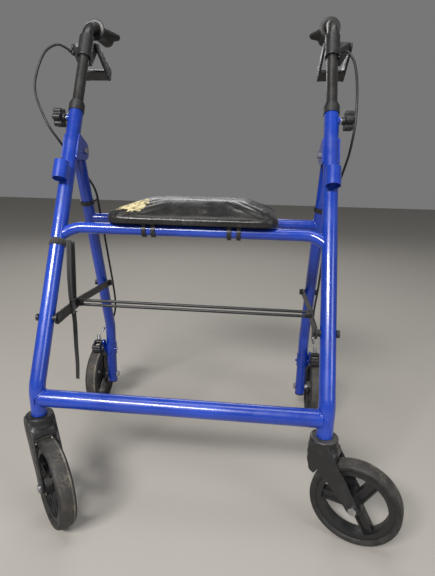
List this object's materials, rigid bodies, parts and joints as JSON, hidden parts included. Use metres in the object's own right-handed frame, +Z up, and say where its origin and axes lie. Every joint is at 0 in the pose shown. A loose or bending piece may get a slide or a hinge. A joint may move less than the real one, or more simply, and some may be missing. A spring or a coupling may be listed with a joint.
{
  "type": "rollator walker",
  "caption": "Folding rollator with swivel casters, cable-braked rear wheels, padded flip-up seat, looped levers and height-adjustable handles.",
  "frame": {"origin": "On the floor under the middle of the whole object at rest.", "axes": "+Z up; the casters are at the front (-Y) and the user walks behind (+Y); +X is to the right of a viewer who stands in front and looks at the casters."},
  "size_m": [0.7334, 0.5746, 0.952],
  "materials": {
    "blue_paint": "semi-gloss blue paint, chipped and worn",
    "zinc_steel": "dull zinc-plated steel",
    "black_steel": "satin black paint",
    "black_tube": "satin black anodised tube",
    "black_plastic": "moulded black plastic",
    "grip_rubber": "soft black rubber",
    "tyre": "worn black and grey tread",
    "cable_sheath": "black cable sheath",
    "webbing": "black woven webbing",
    "vinyl": "scuffed black vinyl",
    "board": "dark fibreboard"
  },
  "bodies": {
    "front_frame": {"left_front_leg": "blue_paint", "right_front_leg": "blue_paint", "bottom_bar": "blue_paint", "front_seat_tube": "blue_paint", "backrest_sockets": "blue_paint", "hinge_brackets": "blue_paint", "hinge_bolts": "zinc_steel", "tube_collars": "black_plastic", "knob_nuts": "blue_paint", "front_brace_bolts": "black_steel", "caster_bushings": "black_plastic", "left_upper_cable": "cable_sheath", "right_upper_cable": "cable_sheath", "pull_strap": "webbing"},
    "rear_frame": {"left_rear_leg": "blue_paint", "right_rear_leg": "blue_paint", "rear_seat_tube": "blue_paint", "rear_leg_plugs": "black_plastic", "rear_axles": "zinc_steel", "brake_brackets": "blue_paint", "rear_brace_bolts": "black_steel", "cable_rings": "black_plastic", "left_lower_cable": "cable_sheath", "right_lower_cable": "cable_sheath", "left_brake_spring": "zinc_steel", "right_brake_spring": "zinc_steel"},
    "front_brace": {"front_links": "black_steel", "cross_rod": "black_steel"},
    "rear_brace": {"rear_links": "black_steel"},
    "seat": {"seat_pad": "vinyl", "seat_board": "board", "seat_clips": "black_steel"},
    "left_handle": {"left_handle_tube": "black_tube", "left_grip": "grip_rubber", "left_brake_housing": "black_plastic"},
    "left_lever": {"left_brake_lever": "black_plastic"},
    "left_knob_body": {"left_knob": "black_plastic", "left_knob_screw": "zinc_steel"},
    "left_caster": {"left_caster_stem": "zinc_steel", "left_caster_fork": "black_plastic", "left_caster_axle": "zinc_steel"},
    "left_caster_wheel": {"left_front_wheel": "black_plastic", "left_front_tyre": "tyre"},
    "left_back_wheel": {"left_rear_wheel": "black_plastic", "left_rear_tyre": "tyre"},
    "left_shoe_arm": {"left_brake_arm": "black_steel"},
    "right_handle": {"right_handle_tube": "black_tube", "right_grip": "grip_rubber", "right_brake_housing": "black_plastic"},
    "right_lever": {"right_brake_lever": "black_plastic"},
    "right_knob_body": {"right_knob": "black_plastic", "right_knob_screw": "zinc_steel"},
    "right_caster": {"right_caster_stem": "zinc_steel", "right_caster_fork": "black_plastic", "right_caster_axle": "zinc_steel"},
    "right_caster_wheel": {"right_front_wheel": "black_plastic", "right_front_tyre": "tyre"},
    "right_back_wheel": {"right_rear_wheel": "black_plastic", "right_rear_tyre": "tyre"},
    "right_shoe_arm": {"right_brake_arm": "black_steel"}
  },
  "joints": [
    {"name": "fold", "type": "hinge", "parent": "front_frame", "child": "rear_frame", "pos_m": [-0.02612, 0.06356, 0.664], "axis": [1, 0, 0], "range_deg": [-15, 0], "deforming": ["pull_strap"]},
    {"name": "front_brace_swing", "type": "hinge", "parent": "front_frame", "child": "front_brace", "pos_m": [-0.02612, -0.12035, 0.355], "axis": [1, 0, 0], "range_deg": [-1, 65.54]},
    {"name": "rear_brace_swing", "type": "hinge", "parent": "rear_frame", "child": "rear_brace", "pos_m": [-0.02612, 0.16662, 0.352], "axis": [1, 0, 0], "range_deg": [-14.95, 1]},
    {"name": "seat_flip", "type": "hinge", "parent": "front_frame", "child": "seat", "pos_m": [-0.02612, -0.03444, 0.515], "axis": [1, 0, 0], "range_deg": [0, 90]},
    {"name": "left_handle_slide", "type": "slide", "parent": "front_frame", "child": "left_handle", "axis": [0, 0.4384, 0.8988], "range_m": [-0.075, 0.05], "deforming": ["left_upper_cable"]},
    {"name": "left_knob_turn", "type": "hinge", "parent": "front_frame", "child": "left_knob_body", "pos_m": [-0.28512, 0.0616, 0.72805], "axis": [1, 0, 0], "continuous": true},
    {"name": "left_brake_squeeze", "type": "hinge", "parent": "left_handle", "child": "left_lever", "pos_m": [-0.28512, 0.17556, 0.887], "axis": [1, 0, 0], "range_deg": [0, 12], "stiffness_Nm_per_rad": 2},
    {"name": "left_brake_arm_swing", "type": "hinge", "parent": "rear_frame", "child": "left_shoe_arm", "pos_m": [-0.28512, 0.19756, 0.176], "axis": [1, 0, 0], "range_deg": [-0.3, 5.3]},
    {"name": "left_caster_swivel", "type": "hinge", "parent": "front_frame", "child": "left_caster", "pos_m": [-0.28512, -0.17644, 0.187], "axis": [0, 0, 1], "continuous": true},
    {"name": "left_front_wheel_spin", "type": "hinge", "parent": "left_caster", "child": "left_caster_wheel", "pos_m": [-0.24215, -0.22251, 0.078], "axis": [0.7314, 0.682, 0], "continuous": true},
    {"name": "left_rear_wheel_spin", "type": "hinge", "parent": "rear_frame", "child": "left_back_wheel", "pos_m": [-0.31862, 0.20956, 0.078], "axis": [1, 0, 0], "continuous": true},
    {"name": "right_handle_slide", "type": "slide", "parent": "front_frame", "child": "right_handle", "axis": [0, 0.4384, 0.8988], "range_m": [-0.075, 0.05], "deforming": ["right_upper_cable"]},
    {"name": "right_knob_turn", "type": "hinge", "parent": "front_frame", "child": "right_knob_body", "pos_m": [0.23288, 0.0616, 0.72805], "axis": [1, 0, 0], "continuous": true},
    {"name": "right_brake_squeeze", "type": "hinge", "parent": "right_handle", "child": "right_lever", "pos_m": [0.23288, 0.17556, 0.887], "axis": [1, 0, 0], "range_deg": [0, 12], "stiffness_Nm_per_rad": 2},
    {"name": "right_brake_arm_swing", "type": "hinge", "parent": "rear_frame", "child": "right_shoe_arm", "pos_m": [0.23288, 0.19756, 0.176], "axis": [1, 0, 0], "range_deg": [-0.3, 5.3]},
    {"name": "right_caster_swivel", "type": "hinge", "parent": "front_frame", "child": "right_caster", "pos_m": [0.23288, -0.17644, 0.187], "axis": [0, 0, 1], "continuous": true},
    {"name": "right_front_wheel_spin", "type": "hinge", "parent": "right_caster", "child": "right_caster_wheel", "pos_m": [0.2913, -0.20004, 0.078], "axis": [0.3746, 0.9272, 0], "continuous": true},
    {"name": "right_rear_wheel_spin", "type": "hinge", "parent": "rear_frame", "child": "right_back_wheel", "pos_m": [0.26638, 0.20956, 0.078], "axis": [1, 0, 0], "continuous": true}
  ],
  "couplings": [
    {"joint": "front_brace_swing", "follows": "fold", "ratio": -4.3027},
    {"joint": "rear_brace_swing", "follows": "fold", "ratio": 0.9297},
    {"joint": "left_brake_arm_swing", "follows": "left_brake_squeeze", "ratio": 0.4167},
    {"joint": "right_brake_arm_swing", "follows": "right_brake_squeeze", "ratio": 0.4167}
  ]
}
